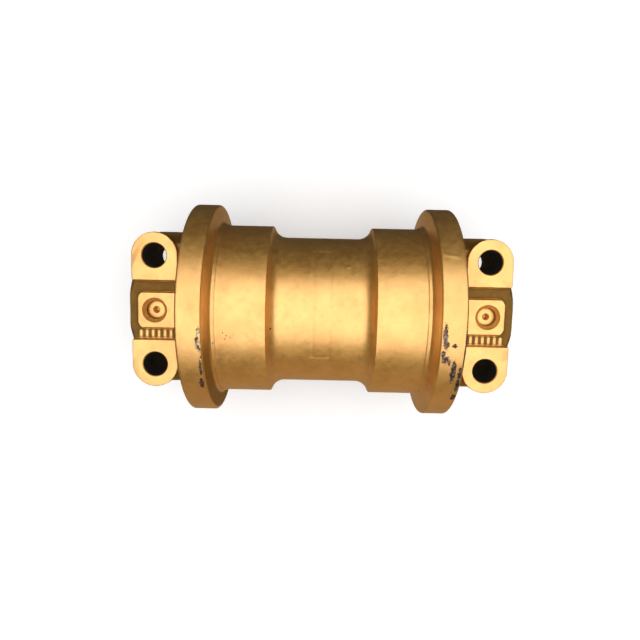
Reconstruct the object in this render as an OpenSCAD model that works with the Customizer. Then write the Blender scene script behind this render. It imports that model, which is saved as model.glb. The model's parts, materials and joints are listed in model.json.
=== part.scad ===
// Bottom track roller for a crawler excavator, with both end collars and its internals.
// The spin axis is Y, the mounting faces point to +Z, and the origin is at the roller's centre.
// The right end is +Y and the left end is -Y.

/* [Roller shell] */
// Diameter of the running treads
tread_d = 152; // [126:1:184]
// Height of the flanges over the treads
flange_h = 18; // [12:0.5:24]
// Height of the treads over the barrel between them
barrel_step = 10; // [8:0.5:14]
// Width of the shell over its flange faces
shell_w = 226; // [188:1:272]
// Width of each flange at its foot
flange_w = 23.5; // [19:0.5:28]
// Width of each tread, from its inner shoulder to the flange foot
tread_w = 45; // [37:0.5:54]
// Slope of the flange flanks
flank_angle = 8.5; // [4:0.5:12]
// Radius between a tread and its flange
foot_r = 5; // [3:0.5:7]
// Radius between the barrel and a tread
barrel_fillet_r = 8; // [5:0.5:8]
// Rounding of the tread shoulders
shoulder_r = 1; // [0.5:0.25:2]
// Rounding of the flange edges
edge_r = 2; // [1:0.25:3]
// How far the oil space between the bushes stands out past their seats
oil_space_h = 6; // [2:0.5:10]

/* [Shaft] */
// Shaft diameter
shaft_d = 56; // [46:1:68]
// How far the collar hubs stand out past the shaft ends
shaft_inset = 1.5; // [0.5:0.5:4]
// Diameter of the oil drillings
oil_hole_d = 8; // [6:0.5:10]
// Chamfer at the shaft ends
shaft_chamfer = 1.5; // [0.5:0.25:3]

/* [Bushes] */
// Wall thickness of the bimetal bushes
bush_wall = 4; // [3:0.5:5.5]
// Length of a bush under its flange
bush_l = 50; // [40:1:56]
// How far a bush flange stands out from its wall
bush_flange_h = 8; // [5:0.5:9]
// Thickness of a bush flange
bush_flange_t = 5; // [3:0.5:7]

/* [Face seals] */
// Depth of the seal faces below the flange faces of the shell
seal_inset = 12; // [10:0.5:14.5]
// Thickness of a seal ring's sealing flange
seal_flange_t = 3.5; // [2.5:0.25:4]
// How far a seal ring's flange stands out from its ramp
seal_flange_h = 4; // [2.5:0.25:5]
// Length of a seal ring from its face to its tail
seal_ring_l = 11; // [10:0.25:12]
// Wall of a seal ring at its tail
seal_tail_wall = 3; // [2:0.25:4]
// Angle of the ramps that the toric rings sit between
ramp_angle = 15; // [8:1:20]
// Section diameter of the toric rings as fitted
toric_d = 8.4; // [7:0.1:9]
// Gap behind the tail of a seal ring
tail_gap = 2; // [1:0.25:4]
// Wall of the collar outside its seal seat
seat_wall = 7; // [5:0.5:9]

/* [Collars] */
// Height of the mounting faces above the spin axis
mount_h = 42; // [38:0.5:50]
// Bolt spacing across the spin axis
bolt_across = 94; // [86:1:113]
// Distance from each flange face of the shell out to its bolt holes
bolt_offset = 30.5; // [28:0.5:36]
// Diameter of the bolt holes
bolt_hole_d = 21; // [17:0.5:25]
// Radius of the rounded ends of the mounting pads
pad_r = 20; // [17:0.5:22]
// Least depth of the bolt bosses below the spin axis
boss_drop = 12; // [6:1:16]
// Wall left between a bolt head seat and the shaft bore
head_wall = 9.4; // [4:0.2:12]
// Diameter of the bolt head seats
seat_d = 36; // [32:1:37]
// Depth of the recess between the pads
recess_depth = 4; // [2:0.5:6]
// Width of the recess between the pads
recess_w = 51; // [46:1:56]
// Width of the raised block in the recess
block_w = 31; // [28:1:36]
// Distance from the block's end to the outboard edge of the pads
block_setback = 5.5; // [3:0.5:8]
// Corner radius of the raised block
block_r = 4.5; // [2:0.5:6]
// Diameter of the collar's disc and of its ears
collar_d = 138; // [134:1:150]
// Thickness of the collar's disc
disc_t = 4; // [3:0.5:6]
// Width of the collar's ears along the spin axis
ear_w = 31; // [26:1:36]
// Wall of the hub around the shaft
hub_wall = 18; // [14:0.5:20]
// How far the hub stands out past the pads
hub_stand = 3; // [1:0.5:5]
// Wall of the nose that bears on the bush flange
nose_wall = 6.5; // [5:0.5:8]

/* [Locking pins and plug] */
// Diameter of the locking pins
pin_d = 16; // [12:0.5:18]
// Depth of a locking pin in the shaft
pin_depth = 14; // [10:0.5:18]
// Depth of a pin's top below the mounting faces
pin_sink = 6; // [4:0.5:8]
// Width of the countersink over a pin, past the pin itself
pin_countersink = 3; // [1:0.5:4]
// Thread diameter of the oil plug
plug_d = 14; // [12:0.5:16]
// Thread length of the oil plug
plug_l = 12; // [8:0.5:16]
// Head diameter of the oil plug
plug_head_d = 22; // [19:0.5:26]
// Head thickness of the oil plug
plug_head_t = 6; // [4:0.5:8]
// Size across flats of the plug's socket
plug_socket = 8; // [6:0.5:10]
// Thickness of the plug's sealing washer
washer_t = 1.5; // [1:0.25:2.5]

/* [O-rings and clearances] */
// Section diameter of the shaft O-rings as fitted
o_ring_d = 3; // [2.5:0.1:4]
// Width of an O-ring groove past its ring
groove_extra = 0.8; // [0.4:0.1:1.5]
// Distance from a collar's disc out to its O-ring groove
groove_setback = 8; // [5:0.5:10]
// Radial running clearance of the bushes on the shaft
run_clear = 0.05; // [0.02:0.01:0.1]
// Radial clearance of the collars on the shaft
slip_clear = 0.02; // [0.01:0.01:0.05]
// Oil film between the two seal faces of a pair
film = 0.02; // [0.01:0.01:0.05]
// End float at each bush flange
end_float = 0.3; // [0.2:0.05:0.6]
// Gap between the shell and the collars along the spin axis
face_gap = 2; // [1.5:0.25:3]
// Radial gap between the shell and a collar, or a seal ring and the nose
ring_gap = 1.5; // [1:0.25:2.5]

/* [Hidden] */
LEFT = -1;
RIGHT = 1;
paint = [0.72, 0.52, 0.24];
bronze = [0.66, 0.47, 0.28];
steel = [0.62, 0.63, 0.65];
iron = [0.35, 0.35, 0.37];
black = [0.08, 0.08, 0.09];
copper = [0.72, 0.42, 0.28];
$fn = 64;
arc_steps = 6;
over = 1;

// Shell outline, from the middle outwards
shell_end = shell_w / 2;
foot_y = shell_end - flange_w;
shoulder_y = foot_y - tread_w;
tread_r = tread_d / 2;
flange_r = tread_r + flange_h;
barrel_r = tread_r - barrel_step;
flank_rise = tan(flank_angle);
rim_y = foot_y + flange_h * flank_rise;

// Shaft, bushes and thrust faces
shaft_r = shaft_d / 2;
bore_r = shaft_r + slip_clear;
bush_bore_r = shaft_r + run_clear;
bush_r = bush_bore_r + bush_wall;
bush_flange_r = bush_r + bush_flange_h;
oil_space_r = bush_r + oil_space_h;
nose_r = shaft_r + nose_wall;

// Face seals, as depths from the seal face and radii
seal_bore_r = nose_r + ring_gap;
ramp = tan(ramp_angle);
ramp_foot_r = seal_bore_r + seal_tail_wall;
ramp_top_r = ramp_foot_r + (seal_ring_l - seal_flange_t) * ramp;
seal_outer_r = ramp_top_r + seal_flange_h;
toric_r = toric_d / 2;
seat_offset = toric_d / cos(ramp_angle);
toric_side_clear = 0.3;
toric_depth = seal_flange_t + toric_side_clear + toric_r;
toric_mid_r = ramp_r(toric_depth) + seat_offset / 2;
seat_depth = max(seal_ring_l + tail_gap, toric_depth + toric_r + toric_side_clear);
housing_r = seat_r(face_gap / 2) + seat_wall;
counterbore_r = housing_r + ring_gap;

// Planes along the spin axis inside the shell
seal_y = shell_end - seal_inset;
thrust_y = seal_y - seat_depth;
bush_seat_y = thrust_y - bush_flange_t;
bush_end_y = bush_seat_y - bush_l;
nose_y = thrust_y + end_float;

// Collar, from its seal housing outwards
housing_y = seal_y + face_gap / 2;
cavity_y = seal_y + seat_depth;
disc_y = shell_end + face_gap;
collar_r = collar_d / 2;
bolt_x = bolt_across / 2;
bolt_y = shell_end + bolt_offset;
pad_in = bolt_y - pad_r;
pad_out = bolt_y + pad_r;
ear_out = disc_y + disc_t + ear_w;
wall_x = bolt_x - seat_d / 2 - head_wall;
boss_bottom = -max(boss_drop, sqrt(max(0, bore_r ^ 2 - wall_x ^ 2)));
boss_h = mount_h - boss_bottom;
recess_z = mount_h - recess_depth;
block_out = pad_out - block_setback;
hub_r = shaft_r + hub_wall;
hub_end = pad_out + hub_stand;
hub_slope = 6;
shaft_end = hub_end - shaft_inset;

// Small features
pin_bottom = shaft_r - pin_depth;
pin_top = mount_h - pin_sink;
pin_chamfer = 1;
groove_mid_y = disc_y + disc_t + groove_setback;
groove_w = o_ring_d + groove_extra;
groove_r = bore_r - o_ring_d;
plug_seat_y = shaft_end - plug_head_t - washer_t;
plug_clear = 1;
mark_count = 6;
mark_w = 2.4;
mark_l = 5.5;
mark_h = 0.9;
mark_pitch = 5.2;

function ramp_r(depth) = ramp_top_r - (depth - seal_flange_t) * ramp;
function seat_r(depth) = ramp_r(depth) + seat_offset;
function arc(r, y, radius, from, to) =
    [for (i = [0 : arc_steps])
        let (a = from + (to - from) * i / arc_steps)
        [r + radius * cos(a), y + radius * sin(a)]];
function mirrored(points) =
    [for (i = [len(points) - 1 : -1 : 0]) [points[i].x, -points[i].y]];

// Turns an outline of [radius, distance along the spin axis] about the spin axis
module turned(points) {
    rotate([-90, 0, 0]) rotate_extrude() polygon(points);
}

// A round bar along the spin axis
module bar(radius, from, to) {
    translate([0, from, 0]) rotate([-90, 0, 0]) cylinder(h = to - from, r = radius);
}

// A block between two corners
module block(low, high) {
    translate(low) cube(high - low);
}

// Turns right-hand children into left-hand ones where the side is LEFT
module at(side) {
    if (side == RIGHT) children();
    else mirror([0, 1, 0]) children();
}

// Outer outline of the right half of the shell, from the barrel to the flange face
function shell_outer() = concat(
    arc(barrel_r + barrel_fillet_r, shoulder_y - barrel_fillet_r, barrel_fillet_r, 180, 90),
    arc(tread_r - shoulder_r, shoulder_y + shoulder_r, shoulder_r, -90, 0),
    arc(tread_r + foot_r, foot_y - foot_r * (1 - flank_rise), foot_r, 180, 90 + flank_angle),
    arc(flange_r - edge_r, rim_y + edge_r, edge_r, flank_angle - 90, 0),
    arc(flange_r - edge_r, shell_end - edge_r, edge_r, 0, 90));

// Inner outline of the right half of the shell, from the flange face to the oil space
function shell_inner() = [
    [counterbore_r, shell_end],
    [counterbore_r, seal_y - face_gap / 2],
    [seat_r(face_gap / 2), seal_y - face_gap / 2],
    [seat_r(seat_depth), thrust_y],
    [bush_flange_r + ring_gap, thrust_y],
    [bush_flange_r + ring_gap, bush_seat_y],
    [bush_r, bush_seat_y],
    [bush_r, bush_end_y],
    [oil_space_r, bush_end_y]];

module roller_shell() {
    color(paint) turned(concat(mirrored(shell_outer()), shell_outer(),
        shell_inner(), mirrored(shell_inner())));
}

module shaft() {
    color(steel) difference() {
        turned([[0, -shaft_end], [shaft_r - shaft_chamfer, -shaft_end],
            [shaft_r, shaft_chamfer - shaft_end], [shaft_r, shaft_end - shaft_chamfer],
            [shaft_r - shaft_chamfer, shaft_end], [0, shaft_end]]);
        bar(oil_hole_d / 2, -oil_hole_d, shaft_end + over);
        translate([-shaft_r - over, 0, 0]) rotate([0, 90, 0])
            cylinder(h = shaft_d + 2 * over, d = oil_hole_d);
        bar(plug_d / 2, plug_seat_y - plug_l, shaft_end + over);
        bar(plug_head_d / 2 + plug_clear, plug_seat_y, shaft_end + over);
        for (side = [LEFT, RIGHT]) at(side) {
            turned([[groove_r, groove_mid_y - groove_w / 2], [shaft_r + over, groove_mid_y - groove_w / 2],
                [shaft_r + over, groove_mid_y + groove_w / 2], [groove_r, groove_mid_y + groove_w / 2]]);
            translate([0, bolt_y, pin_bottom]) cylinder(h = shaft_d, d = pin_d);
        }
    }
}

module bush(side) {
    color(bronze) at(side) turned([
        [bush_bore_r, bush_end_y], [bush_r, bush_end_y],
        [bush_r, bush_seat_y], [bush_flange_r, bush_seat_y],
        [bush_flange_r, thrust_y], [bush_bore_r, thrust_y]]);
}

// A seal ring with its face towards +Z of its outline, placed at the face pair's plane
module seal_ring(side, towards) {
    color(iron) at(side) turned([for (p = [
        [seal_bore_r, film / 2], [seal_outer_r, film / 2],
        [seal_outer_r, seal_flange_t], [ramp_top_r, seal_flange_t],
        [ramp_foot_r, seal_ring_l], [seal_bore_r, seal_ring_l]])
        [p.x, seal_y + towards * p.y]]);
}

module toric_ring(side, towards) {
    color(black) at(side) translate([0, seal_y + towards * toric_depth, 0])
        rotate([-90, 0, 0]) rotate_extrude() translate([toric_mid_r, 0]) circle(r = toric_r);
}

module shaft_o_ring(side) {
    color(black) at(side) translate([0, groove_mid_y, 0])
        rotate([-90, 0, 0]) rotate_extrude()
            translate([bore_r - o_ring_d / 2, 0]) circle(d = o_ring_d);
}

module locking_pin(side) {
    color(steel) at(side) translate([0, bolt_y, 0]) rotate_extrude() polygon([
        [0, pin_bottom], [pin_d / 2 - pin_chamfer, pin_bottom], [pin_d / 2, pin_bottom + pin_chamfer],
        [pin_d / 2, pin_top - pin_chamfer], [pin_d / 2 - pin_chamfer, pin_top], [0, pin_top]]);
}

// Plan of the mounting pad on one side of the recess, with its rounded outer end
module pad_plan(hand) {
    translate([hand * bolt_x, bolt_y]) circle(r = pad_r);
    translate([min(0, hand * bolt_x), pad_in]) square([bolt_x, 2 * pad_r]);
}

// The two bolt bosses with their pads, and the bridge between them under the recess
module bosses() {
    difference() {
        translate([0, 0, boss_bottom]) linear_extrude(boss_h) {
            pad_plan(LEFT);
            pad_plan(RIGHT);
        }
        block([-recess_w / 2, pad_in - over, recess_z], [recess_w / 2, pad_out + over, mount_h + over]);
    }
}

// The raised block around the locking pin
module pin_block() {
    translate([0, 0, boss_bottom]) linear_extrude(boss_h) {
        translate([-block_w / 2, disc_y]) square([block_w, block_out - block_r - disc_y]);
        translate([block_r - block_w / 2, disc_y]) square([block_w - 2 * block_r, block_out - disc_y]);
        for (hand = [LEFT, RIGHT])
            translate([hand * (block_w / 2 - block_r), block_out - block_r]) circle(r = block_r);
    }
}

// Plain raised marks along one side of the pin block
module marks() {
    gap_mid = (recess_w + block_w) / 4;
    for (i = [0 : mark_count - 1])
        translate([gap_mid - mark_l / 2, bolt_y + (i - (mark_count - 1) / 2) * mark_pitch - mark_w / 2,
            recess_z - over])
            cube([mark_l, mark_w, mark_h + over]);
}

// The ears that carry the bosses, and the hub around the shaft
module collar_casting() {
    bar(collar_r, disc_y, disc_y + disc_t);
    intersection() {
        bar(collar_r, disc_y, ear_out);
        block([-collar_r, disc_y, boss_bottom], [collar_r, ear_out, recess_z]);
    }
    intersection() {
        turned([[0, disc_y], [hub_r, disc_y], [hub_r, hub_end - hub_slope],
            [hub_r - hub_slope, hub_end], [0, hub_end]]);
        block([-hub_r, disc_y, -hub_r - over], [hub_r, hub_end, recess_z]);
    }
    bosses();
    pin_block();
    marks();
}

module collar(side) {
    color(paint) at(side) difference() {
        union() {
            collar_casting();
            bar(housing_r, housing_y, disc_y);
            bar(nose_r, nose_y, disc_y);
        }
        turned([[nose_r, housing_y - over], [seat_r(face_gap / 2 - over), housing_y - over],
            [seat_r(seat_depth), cavity_y], [nose_r, cavity_y]]);
        bar(bore_r, nose_y - over, hub_end + over);
        for (hand = [LEFT, RIGHT]) translate([hand * bolt_x, bolt_y, 0]) {
            translate([0, 0, boss_bottom - over]) cylinder(h = boss_h + 2 * over, d = bolt_hole_d);
            translate([0, 0, -collar_r]) cylinder(h = collar_r + boss_bottom, d = seat_d);
        }
        translate([0, bolt_y, 0]) cylinder(h = mount_h + over, d = pin_d);
        translate([0, bolt_y, mount_h - pin_countersink])
            cylinder(h = pin_countersink, d1 = pin_d, d2 = pin_d + 2 * pin_countersink);
    }
}

module oil_plug() {
    color(steel) difference() {
        union() {
            bar(plug_d / 2, plug_seat_y - plug_l, plug_seat_y + washer_t);
            bar(plug_head_d / 2, plug_seat_y + washer_t, shaft_end);
        }
        translate([0, shaft_end - plug_head_t / 2, 0]) rotate([-90, 0, 0])
            cylinder(h = plug_head_t, d = plug_socket / cos(30), $fn = 6);
    }
}

module plug_washer() {
    color(copper) turned([
        [plug_d / 2, plug_seat_y], [plug_head_d / 2, plug_seat_y],
        [plug_head_d / 2, plug_seat_y + washer_t], [plug_d / 2, plug_seat_y + washer_t]]);
}

roller_shell();
shaft();
collar(LEFT);  // left_collar
collar(RIGHT);  // right_collar
bush(LEFT);  // left_bush
bush(RIGHT);  // right_bush
seal_ring(LEFT, -1);  // left_shell_seal_ring
seal_ring(RIGHT, -1);  // right_shell_seal_ring
seal_ring(LEFT, 1);  // left_collar_seal_ring
seal_ring(RIGHT, 1);  // right_collar_seal_ring
toric_ring(LEFT, -1);  // left_shell_toric_ring
toric_ring(RIGHT, -1);  // right_shell_toric_ring
toric_ring(LEFT, 1);  // left_collar_toric_ring
toric_ring(RIGHT, 1);  // right_collar_toric_ring
shaft_o_ring(LEFT);  // left_shaft_o_ring
shaft_o_ring(RIGHT);  // right_shaft_o_ring
locking_pin(LEFT);  // left_locking_pin
locking_pin(RIGHT);  // right_locking_pin
oil_plug();
plug_washer();
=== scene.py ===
import json
import math

import bmesh
import bpy
import numpy as np
from mathutils import Matrix, Vector, noise


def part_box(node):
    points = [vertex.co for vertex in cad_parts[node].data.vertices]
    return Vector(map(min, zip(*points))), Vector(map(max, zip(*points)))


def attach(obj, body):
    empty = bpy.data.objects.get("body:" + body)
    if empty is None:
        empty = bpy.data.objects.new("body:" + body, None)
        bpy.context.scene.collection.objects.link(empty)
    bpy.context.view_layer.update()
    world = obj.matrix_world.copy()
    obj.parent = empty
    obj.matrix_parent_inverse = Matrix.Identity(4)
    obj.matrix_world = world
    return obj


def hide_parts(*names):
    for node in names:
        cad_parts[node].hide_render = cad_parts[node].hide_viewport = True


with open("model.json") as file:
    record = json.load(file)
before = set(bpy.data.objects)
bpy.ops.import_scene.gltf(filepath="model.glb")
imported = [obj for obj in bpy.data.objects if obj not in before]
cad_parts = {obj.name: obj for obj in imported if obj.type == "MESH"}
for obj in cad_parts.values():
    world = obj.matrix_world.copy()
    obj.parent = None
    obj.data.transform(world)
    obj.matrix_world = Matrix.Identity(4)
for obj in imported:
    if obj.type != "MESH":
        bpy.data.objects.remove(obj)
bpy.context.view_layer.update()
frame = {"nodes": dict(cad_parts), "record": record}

MM = 0.001
LEFT = -1
RIGHT = 1
NODES = frame["nodes"]
MOUNTS = {mount["name"]: mount for mount in frame["record"]["mounts"]}

# ------------------------------------------------- sizes that the frame gives
FLANGE_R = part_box("roller_shell")[1].z
SHELL_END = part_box("roller_shell")[1].y
TREAD_R = -MOUNTS["right_tread"]["pos_m"][2]
BOLT_X = MOUNTS["frame_bolts"]["dims"]["spacing_x_mm"] / 2 * MM
BOLT_Y = MOUNTS["frame_bolts"]["dims"]["spacing_y_mm"] / 2 * MM
BOLT_HOLE_R = MOUNTS["frame_bolts"]["dims"]["hole_r_mm"] * MM
PAD_Z = MOUNTS["frame_bolts"]["pos_m"][2]
COLLAR_LOW, COLLAR_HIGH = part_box("right_collar")
HUB_END = COLLAR_HIGH.y
NOSE_END = COLLAR_LOW.y
COLLAR_R = COLLAR_HIGH.x
SHAFT_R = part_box("shaft")[1].z
SHAFT_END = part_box("shaft")[1].y
PIN_LOW, PIN_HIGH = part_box("right_locking_pin")
PIN_R = PIN_HIGH.x
PLUG_LOW, PLUG_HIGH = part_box("oil_plug")
PLUG_HEAD_R = PLUG_HIGH.x
WASHER_LOW, WASHER_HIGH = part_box("plug_washer")
BUSH_LOW, BUSH_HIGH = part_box("right_bush")
BUSH_FLANGE_R = BUSH_HIGH.z
SEAL_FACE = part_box("right_shell_seal_ring")[1].y

# ------------------------------------------------- sizes that repeat the CAD's own
BARREL_STEP = 10 * MM
BARREL_R = TREAD_R - BARREL_STEP
FLANGE_W = 23.5 * MM
FLANK_START = SHELL_END - FLANGE_W
TREAD_W = 45 * MM
FLANK_ANGLE = math.radians(8.5)
FOOT_R = 5 * MM
SHOULDER_R = 1 * MM
EDGE_R = 2 * MM
COUNTERBORE_R = 58.9 * MM
SEAT_LOW_R = 50.4 * MM
SEAT_HIGH_R = 47.2 * MM
SEAT_DEPTH = 13 * MM
FACE_GAP = 2 * MM
RING_GAP = 1.5 * MM
BUSH_SEAT_R = 32.05 * MM
BUSH_FLANGE_T = 5 * MM
OIL_SPACE_R = 38.05 * MM
NOSE_R = 34.5 * MM
COLLAR_BORE_R = SHAFT_R + 0.02 * MM
HEAD_SEAT_R = 18 * MM
BOSS_BOTTOM = -20 * MM
RECESS_Z = PAD_Z - 4 * MM
RECESS_HALF_W = 25.5 * MM
PAD_R = 20 * MM
PIN_COUNTERSINK = 3 * MM
DISC_Y = SHELL_END + FACE_GAP
MARK_X = 20.5 * MM
MARK_PITCH = 5.2 * MM
MARK_COUNT = 6
MARK_HALF = Vector((2.75, 1.2, 0.9)) * MM
O_RING_GROOVE_Y = 127 * MM
O_RING_GROOVE_W = 3.8 * MM
O_RING_GROOVE_R = 25.02 * MM
PLUG_BORE_R = 7 * MM
OIL_HOLE_R = 4 * MM


# ------------------------------------------------- mesh helpers
SEED_SHIFT = (7.3, 3.1, 5.7)
# Edges sharper than these angles, in degrees, are kept crisp
SHELL_CREASE = 28
COLLAR_CREASE = 32
TURNED_CREASE = 25
WASHER_CREASE = 40


def arc(radius_at, along_at, radius, start, end, steps):
    """Points of (radius, along) on an arc, with its angles in degrees from outwards to +Y."""
    points = []
    for i in range(steps + 1):
        a = math.radians(start + (end - start) * i / steps)
        points.append((radius_at + radius * math.cos(a), along_at + radius * math.sin(a)))
    return points


def mirrored(points):
    """The same outline at the other end, in the order that joins on."""
    return [(radius, -along) for radius, along in reversed(points)]


def filled_in(points, step):
    """The outline with points added, so that none is further than step from the next."""
    fine = []
    for (r0, y0), (r1, y1) in zip(points, points[1:]):
        pieces = max(1, math.ceil(math.hypot(r1 - r0, y1 - y0) / step))
        for i in range(pieces):
            t = i / pieces
            fine.append((r0 + (r1 - r0) * t, y0 + (y1 - y0) * t))
    return fine + [points[-1]]


def revolved(points, steps, axis="Y", centre=(0, 0, 0)):
    """A closed bmesh turned from an outline of (radius, place along the axis)."""
    bm = bmesh.new()
    rings = []
    middle = Vector(centre)
    for radius, along in points:
        count = steps if radius > 0 else 1
        ring = []
        for k in range(count):
            a = math.tau * k / steps
            across = (radius * math.sin(a), radius * math.cos(a))
            if axis == "Y":
                place = Vector((across[0], along, across[1]))
            else:
                place = Vector((across[0], across[1], along))
            ring.append(bm.verts.new(middle + place))
        rings.append(ring)
    for a, b in zip(rings, rings[1:] + rings[:1]):
        for k in range(steps):
            n = k + 1
            corners = [a[k % len(a)], a[n % steps % len(a)], b[n % steps % len(b)], b[k % len(b)]]
            corners = list(dict.fromkeys(corners))
            if len(corners) > 2:
                bm.faces.new(corners)
    bmesh.ops.recalc_face_normals(bm, faces=bm.faces)
    return bm


def cylinder(radius, low, high, steps, axis="Y", centre=(0, 0, 0)):
    """A closed bmesh cylinder between two places along its axis."""
    return revolved([(0, low), (radius, low), (radius, high), (0, high)], steps, axis, centre)


def box_between(low, high, bevel=0.0, segments=2):
    """A closed bmesh box between two corners, with its edges rounded if bevel is over 0."""
    bm = bmesh.new()
    bmesh.ops.create_cube(bm, size=1)
    low, high = Vector(low), Vector(high)
    for v in bm.verts:
        v.co = Vector((l + (h - l) * (c + 0.5) for l, h, c in zip(low, high, v.co)))
    if bevel > 0:
        bmesh.ops.bevel(bm, geom=list(bm.edges), offset=bevel, segments=segments,
                        affect="EDGES", profile=0.5)
    return bm


def to_side(bm, side):
    """Turns a right-hand bmesh into a left-hand one where side is LEFT."""
    if side == LEFT:
        bmesh.ops.scale(bm, vec=(1, LEFT, 1), verts=bm.verts)
        bmesh.ops.reverse_faces(bm, faces=bm.faces)
    return bm


def as_object(bm, name):
    """An object of the bmesh, in the row frame."""
    mesh = bpy.data.meshes.new(name)
    bm.to_mesh(mesh)
    bm.free()
    made = bpy.data.objects.new(name, mesh)
    bpy.context.scene.collection.objects.link(made)
    return made


def joined(*parts):
    """One bmesh of several, whose faces aren't joined."""
    whole = bmesh.new()
    for part in parts:
        mesh = bpy.data.meshes.new("part")
        part.to_mesh(mesh)
        part.free()
        whole.from_mesh(mesh)
        bpy.data.meshes.remove(mesh)
    return whole


def applied(obj):
    """Bakes the object's modifiers into its mesh."""
    bpy.context.view_layer.update()
    graph = bpy.context.evaluated_depsgraph_get()
    mesh = bpy.data.meshes.new_from_object(obj.evaluated_get(graph))
    old = obj.data
    obj.modifiers.clear()
    obj.data = mesh
    bpy.data.meshes.remove(old)
    return obj


def carved(obj, cutters, operation="DIFFERENCE"):
    """Cuts each closed bmesh out of the object, or adds it where the operation is UNION."""
    tools = []
    for i, bm in enumerate(cutters):
        tool = as_object(bm, f"{obj.name}_tool_{i}")
        modifier = obj.modifiers.new(tool.name, "BOOLEAN")
        modifier.operation = operation
        modifier.object = tool
        modifier.solver = "MANIFOLD"
        tools.append(tool)
    applied(obj)
    for tool in tools:
        mesh = tool.data
        bpy.data.objects.remove(tool)
        bpy.data.meshes.remove(mesh)
    return obj


def soften(obj, angle):
    """Smooth shading, with the edges sharper than the angle in degrees kept crisp."""
    obj.data.shade_smooth()
    obj.data.set_sharp_from_angle(angle=math.radians(angle))


def places(mesh):
    """The mesh's vertices and their normals as two arrays."""
    count = len(mesh.vertices)
    co = np.empty(count * 3)
    mesh.vertices.foreach_get("co", co)
    normals = np.empty(count * 3)
    mesh.vertex_normals.foreach_get("vector", normals)
    return co.reshape(-1, 3), normals.reshape(-1, 3)


def lumps(co, size, octaves, seed):
    """Smooth noise from about -1 to 1 at each place, with features of that size."""
    shift = Vector([seed * step for step in SEED_SHIFT])
    return np.array([noise.fractal(Vector(c) / size + shift, 1.0, 2.0, octaves) for c in co])


def push_out(mesh, heights):
    """Moves each vertex along its normal."""
    co, normals = places(mesh)
    co += normals * np.asarray(heights)[:, None]
    mesh.vertices.foreach_set("co", co.ravel())
    mesh.update()


def band(values, low, high, soft):
    """1 between low and high and 0 outside, with soft edges of that width."""
    rise = np.clip((values - low) / soft + 0.5, 0, 1)
    fall = np.clip((high - values) / soft + 0.5, 0, 1)
    return rise * fall


def add_piece(obj, body, nodes, material):
    """Gives a finished piece its body and its material, and hides the CAD nodes it stands for."""
    obj.data.materials.clear()
    obj.data.materials.append(material)
    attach(obj, body)
    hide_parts(*nodes)
    return obj


# ------------------------------------------------- shader helpers
def new_tree(name):
    """A material with its node tree and its Principled shader."""
    material = bpy.data.materials.new(name)
    material.use_nodes = True
    tree = material.node_tree
    return material, tree, tree.nodes["Principled BSDF"]


def put(tree, socket, value):
    """Links a socket's input to an output, or sets it."""
    if isinstance(value, bpy.types.NodeSocket):
        tree.links.new(value, socket)
    else:
        socket.default_value = value


def add_node(tree, kind, inputs, **settings):
    """A new node, with its settings and its inputs filled."""
    made = tree.nodes.new(kind)
    for key, value in settings.items():
        setattr(made, key, value)
    for key, value in inputs.items():
        put(tree, made.inputs[key], value)
    return made


def calc(tree, operation, a, b=0.0, clamp=False):
    """A Math node's value."""
    made = add_node(tree, "ShaderNodeMath", {0: a, 1: b}, operation=operation, use_clamp=clamp)
    return made.outputs[0]


def squares(tree, a, b):
    """a squared plus b squared."""
    return calc(tree, "ADD", calc(tree, "MULTIPLY", a, a), calc(tree, "MULTIPLY", b, b))


def length(tree, a, b):
    """The length of the vector (a, b)."""
    return calc(tree, "SQRT", squares(tree, a, b))


def fade(tree, value, low, high, start=0.0, end=1.0):
    """The value turned smoothly from start at low to end at high."""
    inputs = {"Value": value, "From Min": low, "From Max": high, "To Min": start, "To Max": end}
    made = add_node(tree, "ShaderNodeMapRange", inputs, interpolation_type="SMOOTHSTEP")
    return made.outputs["Result"]


def blend_colours(tree, share, first, second):
    """The first colour where share is 0 and the second where it is 1."""
    made = add_node(tree, "ShaderNodeMix", {0: share, 6: first, 7: second}, data_type="RGBA")
    return made.outputs[2]


def grain(tree, coords, size, detail=3.0, roughness=0.55):
    """Noise from 0 to 1 with features of that size."""
    inputs = {"Vector": coords, "Scale": 1 / size, "Detail": detail, "Roughness": roughness}
    return add_node(tree, "ShaderNodeTexNoise", inputs).outputs["Fac"]


def bumped(tree, shader, height, distance):
    """Bump on the shader from a height of 0 to 1."""
    made = add_node(tree, "ShaderNodeBump", {"Height": height, "Distance": distance, "Strength": 1.0})
    tree.links.new(made.outputs["Normal"], shader.inputs["Normal"])


def object_coords(tree):
    """The place in the row frame, whole and as X, Y and Z."""
    coords = tree.nodes.new("ShaderNodeTexCoord").outputs["Object"]
    parts = add_node(tree, "ShaderNodeSeparateXYZ", {0: coords})
    return coords, parts.outputs[0], parts.outputs[1], parts.outputs[2]


# ------------------------------------------------- gold paint
GOLD = (0.84, 0.455, 0.10, 1)
GOLD_DEEP = (0.75, 0.375, 0.068, 1)
# Painted shade: dark brown mixed in where shade falls on the collars and on the left flange's flank
PAINTED_SHADE = (0.19, 0.095, 0.014, 1)
STAIN = (0.50, 0.22, 0.035, 1)
BARE_DARK = (0.075, 0.036, 0.022, 1)
BARE_LIGHT = (0.22, 0.165, 0.125, 1)
PRIMER = (0.60, 0.49, 0.29, 1)
PRIMER_END = 33 * MM
PRIMER_SOFT = 2 * MM
LEFT_SOFT = 10 * MM
# Painted shade: near black inside the bolt holes, whose walls are also bare of paint
UNLIT = (0.004, 0.004, 0.004, 1)
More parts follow.
